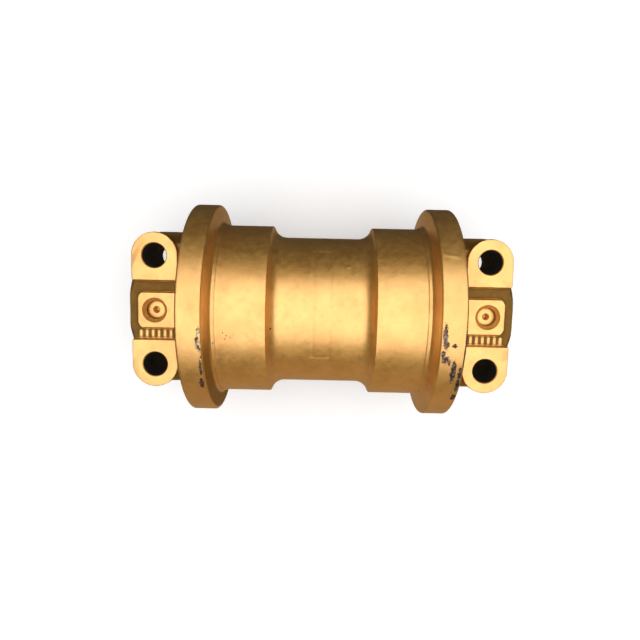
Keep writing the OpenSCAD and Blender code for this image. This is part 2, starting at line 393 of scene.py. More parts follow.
# Each kind of noise has the size of its features and the levels between which it takes hold
CLOUD_SIZE, CLOUD_LEVELS = 24 * MM, (0.3, 0.7)
FORGED_SIZE, FORGED_LEVELS = 5 * MM, (0.25, 0.75)
SPECK_SIZE, SPECK_LEVELS = 0.8 * MM, (0.62, 0.8)
STAIN_SIZE, STAIN_LEVELS = 8 * MM, (0.5, 0.75)
WEAR_SIZE, WEAR_LEVELS = 2.5 * MM, (0.42, 0.62)
SPECK_SHARE = 0.35
STAIN_SHARE = 0.35
PAINT_METALLIC = 0.88
PAINT_ROUGHNESS = (0.39, 0.51)
# How much rougher the paint is where shade is painted on, and inside the holes
PAINTED_SHADE_ROUGHNESS = 0.3
COAT_ROUGHNESS = 0.34
COAT_IOR = 1.75
FORGED_BUMP = 0.7
SPECK_BUMP = 0.3
CHIP_BUMP = 0.4
PAINT_BUMP = 0.22 * MM


def left_end(tree, y):
    """1 on the left half and 0 on the right half."""
    return fade(tree, y, -LEFT_SOFT, LEFT_SOFT, 1.0, 0.0)


def bare_metal(tree, x, y, coords):
    """The colour under the paint: dark and light steel, or dark steel and primer on the left at low X."""
    worn = grain(tree, coords, WEAR_SIZE, 3.0)
    upper = fade(tree, x, PRIMER_END - PRIMER_SOFT, PRIMER_END + PRIMER_SOFT, 1.0, 0.0)
    primed = calc(tree, "MULTIPLY", left_end(tree, y), upper)
    light = blend_colours(tree, primed, BARE_LIGHT, PRIMER)
    return blend_colours(tree, fade(tree, worn, *WEAR_LEVELS), BARE_DARK, light)


def gold_paint(name, painted_shade_mask, bare_mask, unlit_mask):
    """Gold metallic paint on rough steel. The masks say where shade is painted on, where the paint is chipped
    off, and where a hole's inside is painted near black as shade.
    """
    material, tree, shader = new_tree(name)
    coords, x, y, z = object_coords(tree)
    cloud = grain(tree, coords, CLOUD_SIZE, 2.0)
    forged = grain(tree, coords, FORGED_SIZE, 4.0)
    speck = grain(tree, coords, SPECK_SIZE, 3.0, 0.7)
    stain = grain(tree, coords, STAIN_SIZE, 5.0, 0.6)
    # Where shade is painted on
    shaded = painted_shade_mask(tree, x, y, z, coords)
    bare = bare_mask(tree, x, y, z, coords)
    unlit = unlit_mask(tree, x, y, z, coords)
    colour = blend_colours(tree, fade(tree, cloud, *CLOUD_LEVELS), GOLD, GOLD_DEEP)
    colour = blend_colours(tree, fade(tree, speck, *SPECK_LEVELS, 0.0, SPECK_SHARE), colour, GOLD_DEEP)
    colour = blend_colours(tree, fade(tree, stain, *STAIN_LEVELS, 0.0, STAIN_SHARE), colour, STAIN)
    colour = blend_colours(tree, shaded, colour, PAINTED_SHADE)
    colour = blend_colours(tree, bare, colour, bare_metal(tree, x, y, coords))
    colour = blend_colours(tree, unlit, colour, UNLIT)
    put(tree, shader.inputs["Base Color"], colour)
    put(tree, shader.inputs["Metallic"], fade(tree, unlit, 0.0, 1.0, PAINT_METALLIC, 0.0))
    dull = calc(tree, "MULTIPLY", calc(tree, "MAXIMUM", shaded, unlit), PAINTED_SHADE_ROUGHNESS)
    rough = calc(tree, "ADD", fade(tree, forged, *FORGED_LEVELS, *PAINT_ROUGHNESS), dull)
    put(tree, shader.inputs["Roughness"], rough)
    uncoated = calc(tree, "MAXIMUM", calc(tree, "MAXIMUM", unlit, bare), shaded)
    put(tree, shader.inputs["Coat Weight"], calc(tree, "SUBTRACT", 1.0, uncoated, clamp=True))
    put(tree, shader.inputs["Coat Roughness"], COAT_ROUGHNESS)
    put(tree, shader.inputs["Coat IOR"], COAT_IOR)
    forged_height = calc(tree, "MULTIPLY", forged, FORGED_BUMP)
    height = calc(tree, "ADD", forged_height, calc(tree, "MULTIPLY", speck, SPECK_BUMP))
    height = calc(tree, "SUBTRACT", height, calc(tree, "MULTIPLY", bare, CHIP_BUMP))
    bumped(tree, shader, height, PAINT_BUMP)
    return material


def no_mask(tree, x, y, z, coords):
    """Nowhere."""
    return 0.0


# Chips and pits in the shell's paint, as (angle, along, half the turn, half the width), in degrees and mm
CHIPS = (
    (6, 95.8, 4.5, 1.5),
    (10.5, 97.4, 1.6, 1.4),
    (15, 95.3, 1.4, 1.2),
    (18, 97.0, 1.6, 2.0),
    (19.5, 100.6, 1.2, 0.9),
    (11, 103.4, 0.8, 1.5),
    (25, 104.8, 4.8, 1.6),
    (26, 110.2, 3.2, 1.1),
    (33, 110.2, 3.6, 1.2),
    (43, 109.6, 2.0, 1.6),
    (13, 112.0, 10.0, 0.5),
    (7, -94.4, 2.2, 1.0),
    (12, -95.3, 3.0, 1.4),
    (15, -94.2, 1.5, 0.9),
    (19.5, -93.9, 0.8, 0.9),
    (26, -94.5, 4.2, 0.8),
    (36, -95.4, 2.6, 1.5),
    (17, -87.4, 0.6, 1.0),
    (10.5, -79.0, 0.35, 0.4),
    (12.2, -76.2, 0.35, 0.45),
    (14.5, -77.5, 0.3, 0.35),
    (13.4, -73.0, 0.3, 0.4),
    (11.4, -70.6, 0.3, 0.3),
    (8.6, -41.2, 0.5, 0.5),
)
CHIP_SPREAD = 1.6
CHIP_RAGGED_SIZE = 1.7 * MM
CHIP_RAGGED = 3.6
CHIP_EDGE = (0.55, 0.8)
# Painted shade on the left flank: where the flank starts and the rim ends, and how it deepens towards +X
FLANK_EDGE = (FLANK_START - 0.5 * MM, FLANK_START + 0.8 * MM)
RIM_EDGE = (FLANGE_R - 3.5 * MM, FLANGE_R - 1.5 * MM)
FLANK_SHADE_RUN = (0.0, 40 * MM)
FLANK_SHADE = (0.15, 0.8)
# Painted shade on the collars, from the recess floor and the pads downwards
RECESS_FLOOR_SHADE = 0.95
FLOOR_TOP = (RECESS_Z + 0.3 * MM, RECESS_Z + 0.75 * MM)
FLOOR_BOTTOM = (RECESS_Z - 3 * MM, RECESS_Z - 1 * MM)
RECESS_EDGE = (RECESS_HALF_W - 0.6 * MM, RECESS_HALF_W + 0.6 * MM)
SIDE_SHADE = 0.75
SIDE_TOP = (RECESS_Z - 7 * MM, RECESS_Z - 1.5 * MM)
EAR_SHADE = 0.85
EAR_TOP = (PAD_Z - 3 * MM, PAD_Z - 0.8 * MM)
EAR_EDGE = (RECESS_HALF_W, RECESS_HALF_W + 4 * MM)
LOW_EDGE = (8 * MM, 30 * MM)
LOW_SHADE = 0.12
# Painted shade: the bolt holes are painted near black just inside their walls and below their chamfers, where
# the walls are also bare of paint
HOLE_EDGE = (BOLT_HOLE_R + 0.1 * MM, BOLT_HOLE_R + 0.3 * MM)
HOLE_TOP = (PAD_Z - 1.0 * MM, PAD_Z - 0.6 * MM)


def shell_chips(tree, x, y, z, coords):
    """Ragged chips where the track chain has knocked the flange rims, and a few small pits."""
    angle = calc(tree, "MULTIPLY", calc(tree, "ARCTAN2", x, z), math.degrees(1))
    along = calc(tree, "DIVIDE", y, MM)
    best = None
    for chip_angle, chip_along, half_turn, half_width in CHIPS:
        turn = calc(tree, "SUBTRACT", angle, chip_angle)
        turn = calc(tree, "DIVIDE", turn, half_turn * CHIP_SPREAD)
        side = calc(tree, "SUBTRACT", along, chip_along)
        side = calc(tree, "DIVIDE", side, half_width * CHIP_SPREAD)
        reach = squares(tree, turn, side)
        best = reach if best is None else calc(tree, "MINIMUM", best, reach)
    ragged = grain(tree, coords, CHIP_RAGGED_SIZE, 4.0, 0.7)
    ragged = calc(tree, "MULTIPLY", calc(tree, "SUBTRACT", ragged, 0.5), CHIP_RAGGED)
    return fade(tree, calc(tree, "ADD", best, ragged), *CHIP_EDGE, 1.0, 0.0)


def shell_flank_shade(tree, x, y, z, coords):
    """Painted shade on the left flange's flank, deeper towards +X, with the rim left out."""
    flank = fade(tree, calc(tree, "ABSOLUTE", y), *FLANK_EDGE)
    flank = calc(tree, "MULTIPLY", flank, fade(tree, length(tree, x, z), *RIM_EDGE, 1.0, 0.0))
    thick = fade(tree, x, *FLANK_SHADE_RUN, *FLANK_SHADE)
    return calc(tree, "MULTIPLY", flank, calc(tree, "MULTIPLY", left_end(tree, y), thick))


def casting_shade(tree, x, y, z, coords):
    """Painted shade on the recess floors, but not on the raised marks, and on the sides and ears, fading low
    down.
    """
    across = calc(tree, "ABSOLUTE", x)
    floor = fade(tree, z, *FLOOR_TOP, 1.0, 0.0)
    floor = calc(tree, "MULTIPLY", floor, fade(tree, across, *RECESS_EDGE, 1.0, 0.0))
    floor = calc(tree, "MULTIPLY", floor, fade(tree, z, *FLOOR_BOTTOM))
    floor = calc(tree, "MULTIPLY", floor, RECESS_FLOOR_SHADE)
    sides = fade(tree, z, *SIDE_TOP, SIDE_SHADE, 0.0)
    ears = fade(tree, z, *EAR_TOP, EAR_SHADE, 0.0)
    ears = calc(tree, "MULTIPLY", ears, fade(tree, across, *EAR_EDGE))
    sides = calc(tree, "MAXIMUM", sides, ears)
    sides = calc(tree, "MULTIPLY", sides, fade(tree, z, *LOW_EDGE, LOW_SHADE, 1.0))
    return calc(tree, "MAXIMUM", floor, sides)


def bolt_hole_shade(tree, x, y, z, coords):
    """Painted shade: the insides of the bolt holes, below their chamfers, painted near black over walls that
    are also bare of paint.
    """
    hole_x = calc(tree, "SUBTRACT", calc(tree, "ABSOLUTE", x), BOLT_X)
    hole_y = calc(tree, "SUBTRACT", calc(tree, "ABSOLUTE", y), BOLT_Y)
    hole = fade(tree, length(tree, hole_x, hole_y), *HOLE_EDGE, 1.0, 0.0)
    return calc(tree, "MULTIPLY", hole, fade(tree, z, *HOLE_TOP, 1.0, 0.0))


# ------------------------------------------------- other materials
STEEL = (0.42, 0.42, 0.43, 1)
STEEL_DEEP = (0.28, 0.28, 0.29, 1)
COPPER = (0.62, 0.27, 0.15, 1)
COPPER_DEEP = (0.45, 0.19, 0.11, 1)
BRONZE = (0.55, 0.30, 0.12, 1)
BRONZE_DEEP = (0.42, 0.22, 0.09, 1)
IRON = (0.18, 0.18, 0.19, 1)
IRON_DEEP = (0.11, 0.11, 0.12, 1)
BLACK = (0.012, 0.012, 0.013, 1)
BLOOM = (0.03, 0.03, 0.032, 1)
METAL_CLOUD_SIZE = 9 * MM
METAL_GRAIN_SIZE = 0.5 * MM
TURNED_ROUGHNESS = 0.3
DULL_ROUGHNESS = 0.35
METAL_SPREAD = 0.12
METAL_BUMP = 0.02 * MM
TURNING_PITCH = 0.5 * MM
TURNING_BUMP = 0.25
TURNED_GRAIN_BUMP = 0.5
BLOOM_SIZE = 4 * MM
BLOOM_LEVELS = (0.35, 0.75)
RUBBER_GRAIN_SIZE = 0.4 * MM
RUBBER_ROUGHNESS = (0.5, 0.7)
RUBBER_BUMP = 0.02 * MM


def plain_metal(name, colour, deep, roughness, turned=False):
    """Bare metal, with turning marks where turned is true."""
    material, tree, shader = new_tree(name)
    coords, x, y, z = object_coords(tree)
    cloud = grain(tree, coords, METAL_CLOUD_SIZE, 3.0)
    height = grain(tree, coords, METAL_GRAIN_SIZE, 3.0)
    mixed = blend_colours(tree, fade(tree, cloud, *CLOUD_LEVELS), colour, deep)
    put(tree, shader.inputs["Base Color"], mixed)
    put(tree, shader.inputs["Metallic"], 1.0)
    rough = fade(tree, cloud, *CLOUD_LEVELS, roughness, roughness + METAL_SPREAD)
    put(tree, shader.inputs["Roughness"], rough)
    if turned:
        reach = calc(tree, "ADD", length(tree, x, z), y)
        wave = calc(tree, "SINE", calc(tree, "MULTIPLY", reach, math.tau / TURNING_PITCH))
        height = calc(tree, "MULTIPLY", height, TURNED_GRAIN_BUMP)
        height = calc(tree, "ADD", calc(tree, "MULTIPLY", wave, TURNING_BUMP), height)
    bumped(tree, shader, height, METAL_BUMP)
    return material


def rubber(name):
    """Black nitrile rubber with a faint bloom."""
    material, tree, shader = new_tree(name)
    coords = object_coords(tree)[0]
    bloom = grain(tree, coords, BLOOM_SIZE, 4.0)
    mixed = blend_colours(tree, fade(tree, bloom, *BLOOM_LEVELS), BLACK, BLOOM)
    put(tree, shader.inputs["Base Color"], mixed)
    put(tree, shader.inputs["Roughness"], fade(tree, bloom, *CLOUD_LEVELS, *RUBBER_ROUGHNESS))
    bumped(tree, shader, grain(tree, coords, RUBBER_GRAIN_SIZE), RUBBER_BUMP)
    return material


# ------------------------------------------------- the roller shell
SHELL_STEPS = 400
SURFACE_STEP = 1.5 * MM
# The step from the barrel up to a tread is longer in the photo than in the CAD: a fillet and a slope
STEP_FILLET_R = 12.5 * MM
STEP_SLOPE = 68
# The shallow line of a frame on the barrel, between these two angles
FRAME_HALF_W = 8 * MM
FRAME_LINE_W = 2.2 * MM
FRAME_LINE_TURN = 1.3
FRAME_TURN = (-53, 33)
FRAME_DEPTH = 0.5 * MM
FRAME_SOFT = 0.6 * MM
FRAME_SOFT_TURN = 2.2
# A bead in each flange's foot fillet, a pimple on the barrel and a paint run on the right rim
BEAD_Y = FLANK_START - 2.9 * MM
BEAD_HALF_W = 1.2 * MM
BEAD_HEIGHT = 0.8 * MM
PIMPLE_PLACE = (-38, 22.3 * MM)
PIMPLE_SIZE = 1.3 * MM
PIMPLE_HEIGHT = 0.5 * MM
RUN_START = (-34.0, 95 * MM)
RUN_SLOPE = 0.108
RUN_LENGTH = 12 * MM
RUN_HALF_W = 1.1 * MM
RUN_HEIGHT = 0.35 * MM
RUN_SOFT = 1 * MM
# The forging skin, and how far the rim is set in so that the skin stays inside the CAD's box
SKIN_COARSE_SIZE, SKIN_COARSE = 14 * MM, 0.035 * MM
SKIN_FINE_SIZE, SKIN_FINE = 4 * MM, 0.03 * MM
RIM_INSET = 0.1 * MM
# Stretches of the shell's radius, as (low, high, how soft the ends are), with a far end beyond everything
FAR = 1.0
OUTSIDE = (BARREL_R - 1 * MM, FAR, 1 * MM)
ON_BARREL = (0, BARREL_R + 1 * MM, 0.2 * MM)
ON_FOOT = (TREAD_R - 0.5 * MM, TREAD_R + 2 * MM, 0.5 * MM)
ON_RIM = (FLANGE_R - 1 * MM, FAR, 0.5 * MM)
NEAR_RIM = (FLANGE_R - EDGE_R - 6 * MM, FAR, 2 * MM)


def shell_outline():
    """The shell's outer outline at its right end, from the barrel to the flange face."""
    shoulder_y = FLANK_START - TREAD_W
    lean = math.tan(FLANK_ANGLE)
    flank = math.degrees(FLANK_ANGLE)
    rim_y = FLANK_START + (FLANGE_R - TREAD_R) * lean
    slope = math.radians(STEP_SLOPE)
    slope_top_r = TREAD_R - SHOULDER_R * (1 - math.cos(slope))
    slope_top_y = shoulder_y + SHOULDER_R * (1 - math.sin(slope))
    slope_foot_r = BARREL_R + STEP_FILLET_R * (1 - math.cos(slope))
    slope_foot_y = slope_top_y - (slope_top_r - slope_foot_r) / math.tan(slope)
    fillet_y = slope_foot_y - STEP_FILLET_R * math.sin(slope)
    points = [(BARREL_R, 0)]
    points += arc(BARREL_R + STEP_FILLET_R, fillet_y, STEP_FILLET_R, 180, 180 - STEP_SLOPE, 10)
    points += arc(TREAD_R - SHOULDER_R, shoulder_y + SHOULDER_R, SHOULDER_R, -STEP_SLOPE, 0, 4)
    points += arc(TREAD_R + FOOT_R, FLANK_START - FOOT_R * (1 - lean), FOOT_R, 180, 90 + flank, 14)
    points += arc(FLANGE_R - EDGE_R, rim_y + EDGE_R, EDGE_R, flank - 90, 0, 5)
    points += arc(FLANGE_R - EDGE_R, SHELL_END - EDGE_R, EDGE_R, 0, 90, 5)
    return points


def shell_inside():
    """The shell's inner outline at its right end, from the flange face to the oil space."""
    thrust_y = SEAL_FACE - SEAT_DEPTH
    return [
        (COUNTERBORE_R, SHELL_END),
        (COUNTERBORE_R, SEAL_FACE - FACE_GAP / 2),
        (SEAT_LOW_R, SEAL_FACE - FACE_GAP / 2),
        (SEAT_HIGH_R, thrust_y),
        (BUSH_FLANGE_R + RING_GAP, thrust_y),
        (BUSH_FLANGE_R + RING_GAP, BUSH_HIGH.y - BUSH_FLANGE_T),
        (BUSH_SEAT_R, BUSH_HIGH.y - BUSH_FLANGE_T),
        (BUSH_SEAT_R, BUSH_LOW.y),
        (OIL_SPACE_R, BUSH_LOW.y),
    ]


def frame_line(angle, along):
    """The line round the frame: 1 on it and 0 off it."""
    whole = band(along, -FRAME_HALF_W, FRAME_HALF_W, FRAME_SOFT)
    whole *= band(angle, FRAME_TURN[0], FRAME_TURN[1], FRAME_SOFT_TURN)
    inner = band(along, FRAME_LINE_W - FRAME_HALF_W, FRAME_HALF_W - FRAME_LINE_W, FRAME_SOFT)
    inner *= band(angle, FRAME_TURN[0] + FRAME_LINE_TURN, FRAME_TURN[1] - FRAME_LINE_TURN, FRAME_SOFT_TURN)
    return whole - inner


def pimple(radius, angle, along):
    """A small round bump, 1 at its top."""
    across = np.radians(angle - PIMPLE_PLACE[0]) * radius
    reach = np.hypot(across, along - PIMPLE_PLACE[1])
    return np.exp(-(reach / PIMPLE_SIZE) ** 2)


def paint_run(radius, angle, along):
    """A run of paint that leans a little across the rim, 1 along its ridge."""
    run_angle = RUN_START[0] + RUN_SLOPE * (along - RUN_START[1]) / MM
    across = np.radians(angle - run_angle) * radius
    ridge = np.exp(-(across / RUN_HALF_W) ** 2)
    return ridge * band(along, RUN_START[1], RUN_START[1] + RUN_LENGTH, RUN_SOFT)


def shell_relief(co):
    """How far the shell's outside stands out from its outline at each place."""
    radius = np.hypot(co[:, 0], co[:, 2])
    angle = np.degrees(np.arctan2(co[:, 0], co[:, 2]))
    along = co[:, 1]
    outside = band(radius, *OUTSIDE)
    on_barrel = band(radius, *ON_BARREL) * outside
    skin = SKIN_COARSE * lumps(co, SKIN_COARSE_SIZE, 2, 1) + SKIN_FINE * lumps(co, SKIN_FINE_SIZE, 2, 2)
    heights = skin * outside
    heights -= FRAME_DEPTH * frame_line(angle, along) * on_barrel
    bead = np.exp(-((np.abs(along) - BEAD_Y) / BEAD_HALF_W) ** 2)
    heights += BEAD_HEIGHT * bead * band(radius, *ON_FOOT)
    heights += PIMPLE_HEIGHT * pimple(radius, angle, along) * on_barrel
    heights += RUN_HEIGHT * paint_run(radius, angle, along) * band(radius, *ON_RIM)
    return heights - RIM_INSET * band(radius, *NEAR_RIM)


def build_shell(material):
    """The forged and welded shell, turned from its outline, with the relief of its surface."""
    half = shell_outline()
    outer = filled_in(mirrored(half)[:-1] + half, SURFACE_STEP)
    inside = shell_inside()
    bm = revolved(outer + inside + mirrored(inside), SHELL_STEPS)
    shell = as_object(bm, "shell_forging")
    co, _ = places(shell.data)
    push_out(shell.data, shell_relief(co))
    soften(shell, SHELL_CREASE)
    return add_piece(shell, "roller", ["roller_shell"], material)


# ------------------------------------------------- the end collars
VOXEL = 1.0 * MM
CAST_SMOOTHING = 6
CAST_SMOOTH_SHARE = 0.5
OVER = 3 * MM
ROUND_STEPS = 96
HOLE_CHAMFER = 0.7 * MM
BORE_CHAMFER = 1.2 * MM
HEAD_SEAT_CORNER = 1 * MM
FACE_CUT = 0.1 * MM
DISC_SPARE = 1 * MM
MARK_BEVEL = 0.35 * MM
# How far the fillings reach past what they fill, and where the pin hole's filling starts
PAD_SPARE = 0.25 * MM
RECESS_SPARE = 1 * MM
PIN_SPARE = 1 * MM
BORE_SPARE = 3 * MM
NOSE_SPARE = 1 * MM
PIN_FILL_LOW = 30 * MM
# The casting's skin, and how far it is set in to make up for its highest lumps
CAST_COARSE_SIZE, CAST_COARSE = 9 * MM, 0.16 * MM
CAST_FINE_SIZE, CAST_FINE = 2.5 * MM, 0.05 * MM
CAST_INSET = 0.1 * MM
CAST_SEEDS = {LEFT: 23, RIGHT: 11}
PIN_CENTRE = (0, BOLT_Y, 0)


def bolt_centres():
    """The middles of a right-hand collar's two bolt holes."""
    return [(hand * BOLT_X, BOLT_Y, 0) for hand in (-1, 1)]


def collar_fillings():
    """Closed solids that turn a right-hand CAD collar back into its raw casting.

    They fill every machined hole and leave spare on each machined face."""
    pad_top = PAD_Z + PAD_SPARE
    fill = [cylinder(PAD_R, BOSS_BOTTOM, pad_top, ROUND_STEPS, "Z", at) for at in bolt_centres()]
    for hand in (-1, 1):
        near, far = sorted((hand * RECESS_HALF_W, hand * BOLT_X))
        low = (near, BOLT_Y - PAD_R, RECESS_Z - RECESS_SPARE)
        fill.append(box_between(low, (far, BOLT_Y + PAD_R, pad_top)))
    pin_fill_r = PIN_R + PIN_COUNTERSINK + PIN_SPARE
    fill.append(cylinder(pin_fill_r, PIN_FILL_LOW, PAD_Z, ROUND_STEPS, "Z", PIN_CENTRE))
    fill.append(cylinder(SHAFT_R + BORE_SPARE, NOSE_END - NOSE_SPARE, HUB_END + PAD_SPARE, ROUND_STEPS))
    return fill


def bolt_cuts(at):
    """The bolt hole with its chamfer, and the seat for the bolt's head under the boss."""
    hole = [
        (0, BOSS_BOTTOM - OVER),
        (BOLT_HOLE_R, BOSS_BOTTOM - OVER),
        (BOLT_HOLE_R, PAD_Z - HOLE_CHAMFER),
        (BOLT_HOLE_R + HOLE_CHAMFER + OVER, PAD_Z + OVER),
        (0, PAD_Z + OVER),
    ]
    seat = [
        (0, -COLLAR_R - OVER),
        (HEAD_SEAT_R, -COLLAR_R - OVER),
        (HEAD_SEAT_R, BOSS_BOTTOM - HEAD_SEAT_CORNER),
        (HEAD_SEAT_R - HEAD_SEAT_CORNER, BOSS_BOTTOM),
        (0, BOSS_BOTTOM),
    ]
    return [revolved(hole, ROUND_STEPS, "Z", at), revolved(seat, ROUND_STEPS, "Z", at)]


def collar_cuts():
    """Every machined face and hole of a right-hand collar, each as a closed cutter."""
    far = COLLAR_R + OVER
    cuts = [box_between((-far, DISC_Y + DISC_SPARE, PAD_Z), (far, HUB_END + OVER, PAD_Z + 2 * OVER))]
    cuts.append(box_between((-far, HUB_END - FACE_CUT, -far), (far, HUB_END + 2 * OVER, far)))
    for at in bolt_centres():
        cuts += bolt_cuts(at)
    pin_hole = [
        (0, 0),
        (PIN_R, 0),
        (PIN_R, PAD_Z - PIN_COUNTERSINK),
        (PIN_R + PIN_COUNTERSINK + OVER, PAD_Z + OVER),
        (0, PAD_Z + OVER),
    ]
    cuts.append(revolved(pin_hole, ROUND_STEPS, "Z", PIN_CENTRE))
    bore = [
        (0, NOSE_END - OVER),
        (COLLAR_BORE_R, NOSE_END - OVER),
        (COLLAR_BORE_R, HUB_END - BORE_CHAMFER),
        (COLLAR_BORE_R + BORE_CHAMFER + OVER, HUB_END + OVER),
        (0, HUB_END + OVER),
    ]
    cuts.append(revolved(bore, 2 * ROUND_STEPS))
    seal_seat = [
        (NOSE_R, SEAL_FACE - OVER),
        (SEAT_LOW_R, SEAL_FACE - OVER),
        (SEAT_LOW_R, SEAL_FACE + FACE_GAP / 2),
        (SEAT_HIGH_R, SEAL_FACE + SEAT_DEPTH),
        (NOSE_R, SEAL_FACE + SEAT_DEPTH),
    ]
    cuts.append(revolved(seal_seat, 2 * ROUND_STEPS))
    return cuts


def collar_marks():
    """Plain raised marks along one side of the pin block, with bevelled edges."""
    marks = []
    for i in range(MARK_COUNT):
        along = BOLT_Y + (i - (MARK_COUNT - 1) / 2) * MARK_PITCH
        middle = Vector((MARK_X, along, RECESS_Z))
        marks.append(box_between(middle - MARK_HALF, middle + MARK_HALF, MARK_BEVEL))
    return marks


def build_collar(side, name, material):
    """A cast collar: the rounded casting with its skin, then its machined faces and holes."""
    casting = bmesh.new()
    casting.from_mesh(NODES[f"{name}_collar"].data)
    whole = joined(casting, *[to_side(bm, side) for bm in collar_fillings()])
    collar = as_object(whole, f"{name}_collar_casting")
    collar.data.materials.clear()
    remesh = collar.modifiers.new("voxels", "REMESH")
    remesh.mode = "VOXEL"
    remesh.voxel_size = VOXEL
    smooth = collar.modifiers.new("smooth", "SMOOTH")
    smooth.factor = CAST_SMOOTH_SHARE
    smooth.iterations = CAST_SMOOTHING
    applied(collar)
    co, _ = places(collar.data)
    seed = CAST_SEEDS[side]
    skin = CAST_COARSE * lumps(co, CAST_COARSE_SIZE, 3, seed)
    skin += CAST_FINE * lumps(co, CAST_FINE_SIZE, 2, seed + 1)
    push_out(collar.data, skin - CAST_INSET)
    carved(collar, [to_side(bm, side) for bm in collar_cuts()])
    carved(collar, [to_side(bm, side) for bm in collar_marks()], "UNION")
    soften(collar, COLLAR_CREASE)
    return add_piece(collar, "axle", [f"{name}_collar"], material)


# ------------------------------------------------- shaft, pins and plug
TURN_STEPS = 192
SHAFT_CHAMFER = 1.5 * MM
CENTRE_MARK_R = 4 * MM
CENTRE_MARK_DEPTH = 4 * MM
CENTRE_DRILL_R = 2.5 * MM
CENTRE_DRILL_DEPTH = 6 * MM
PLUG_SPARE = 1 * MM
PIN_CHAMFER = 1 * MM
PIN_EDGE = 0.3 * MM
PULL_R = 2.5 * MM
PULL_CHAMFER = 0.7 * MM
PULL_DEPTH = 9 * MM
PULL_POINT = 1.5 * MM
PLUG_CHAMFER = 1 * MM
PLUG_NECK_CHAMFER = 0.4 * MM
PLUG_EDGE = 0.8 * MM
SOCKET_HALF_W = 4 * MM
SOCKET_R = SOCKET_HALF_W / math.cos(math.radians(30))
LEAD_IN = 0.2 * MM
LEAD_OUT = 0.4 * MM
LEAD_DEPTH = 0.5 * MM
LEAD_SPARE = 0.1 * MM
WASHER_ROLL = 0.35 * MM
WASHER_BORE_R = PLUG_BORE_R + 0.05 * MM


def build_shaft(material):
    """The ground shaft, with its O-ring grooves, centre mark, plug seat and oil drillings."""
    left = [
        (0, CENTRE_DRILL_DEPTH - SHAFT_END),
        (CENTRE_DRILL_R, CENTRE_DRILL_DEPTH - SHAFT_END),
        (CENTRE_DRILL_R, CENTRE_MARK_DEPTH - SHAFT_END),
        (CENTRE_MARK_R, -SHAFT_END),
        (SHAFT_R - SHAFT_CHAMFER, -SHAFT_END),
        (SHAFT_R, SHAFT_CHAMFER - SHAFT_END),
    ]
    groove_low = O_RING_GROOVE_Y - O_RING_GROOVE_W / 2
    groove_high = O_RING_GROOVE_Y + O_RING_GROOVE_W / 2
    groove = [
        (SHAFT_R, groove_low),
        (O_RING_GROOVE_R, groove_low),
        (O_RING_GROOVE_R, groove_high),
        (SHAFT_R, groove_high),
    ]
    right = [
        (SHAFT_R, SHAFT_END - SHAFT_CHAMFER),
        (SHAFT_R - SHAFT_CHAMFER, SHAFT_END),
        (PLUG_HEAD_R + PLUG_SPARE, SHAFT_END),
        (PLUG_HEAD_R + PLUG_SPARE, WASHER_LOW.y),
        (PLUG_BORE_R, WASHER_LOW.y),
        (PLUG_BORE_R, PLUG_LOW.y),
        (OIL_HOLE_R, PLUG_LOW.y),
        (OIL_HOLE_R, -OIL_HOLE_R),
        (0, -2 * OIL_HOLE_R),
    ]
    shaft = as_object(revolved(left + mirrored(groove) + groove + right, TURN_STEPS), "shaft_ground")
    cuts = []
    for side in (LEFT, RIGHT):
        pin_hole = cylinder(PIN_R, PIN_LOW.z, SHAFT_R + OVER, ROUND_STEPS, "Z", PIN_CENTRE)
        cuts.append(to_side(pin_hole, side))
    carved(shaft, cuts)
    soften(shaft, TURNED_CREASE)
    return add_piece(shaft, "axle", ["shaft"], material)


def build_pin(side, name, material):
    """A locking pin with chamfered ends and a tapped hole to pull it out by."""
    low, high = PIN_LOW.z, PIN_HIGH.z
    outline = [
        (0, low),
        (PIN_R - PIN_CHAMFER, low),
        (PIN_R, low + PIN_CHAMFER),
        (PIN_R, high - PIN_CHAMFER),
        (PIN_R - PIN_EDGE, high - PIN_EDGE),
        (PIN_R - PIN_CHAMFER, high),
        (PULL_R + PULL_CHAMFER, high),
        (PULL_R, high - PULL_CHAMFER),
        (PULL_R, high - PULL_DEPTH),
        (0, high - PULL_DEPTH - PULL_POINT),
    ]
    pin = as_object(to_side(revolved(outline, ROUND_STEPS, "Z", PIN_CENTRE), side), f"{name}_pin_turned")
    soften(pin, TURNED_CREASE)
    return add_piece(pin, "axle", [f"{name}_locking_pin"], material)


def build_plug(material):
    """The oil plug, with a rounded head and a hexagon socket."""
    neck, top = WASHER_HIGH.y, PLUG_HIGH.y
    outline = [
        (0, PLUG_LOW.y),
        (PLUG_BORE_R - PLUG_CHAMFER, PLUG_LOW.y),
        (PLUG_BORE_R, PLUG_LOW.y + PLUG_CHAMFER),
        (PLUG_BORE_R, neck),
        (PLUG_HEAD_R - PLUG_NECK_CHAMFER, neck),
        (PLUG_HEAD_R, neck + PLUG_NECK_CHAMFER),
    ]
    outline += arc(PLUG_HEAD_R - PLUG_EDGE, top - PLUG_EDGE, PLUG_EDGE, 0, 90, 5)
    outline += [(0, top)]
    plug = as_object(revolved(outline, ROUND_STEPS), "oil_plug_turned")
    socket = cylinder(SOCKET_R, top - (top - neck) / 2, top + OVER, 6)
    lead = [
        (0, top - LEAD_DEPTH),
        (SOCKET_R - LEAD_IN, top - LEAD_DEPTH),
        (SOCKET_R + LEAD_OUT, top + LEAD_SPARE),
        (0, top + LEAD_SPARE),
    ]
    carved(plug, [socket, revolved(lead, ROUND_STEPS)])
    soften(plug, TURNED_CREASE)
    return add_piece(plug, "axle", ["oil_plug"], material)


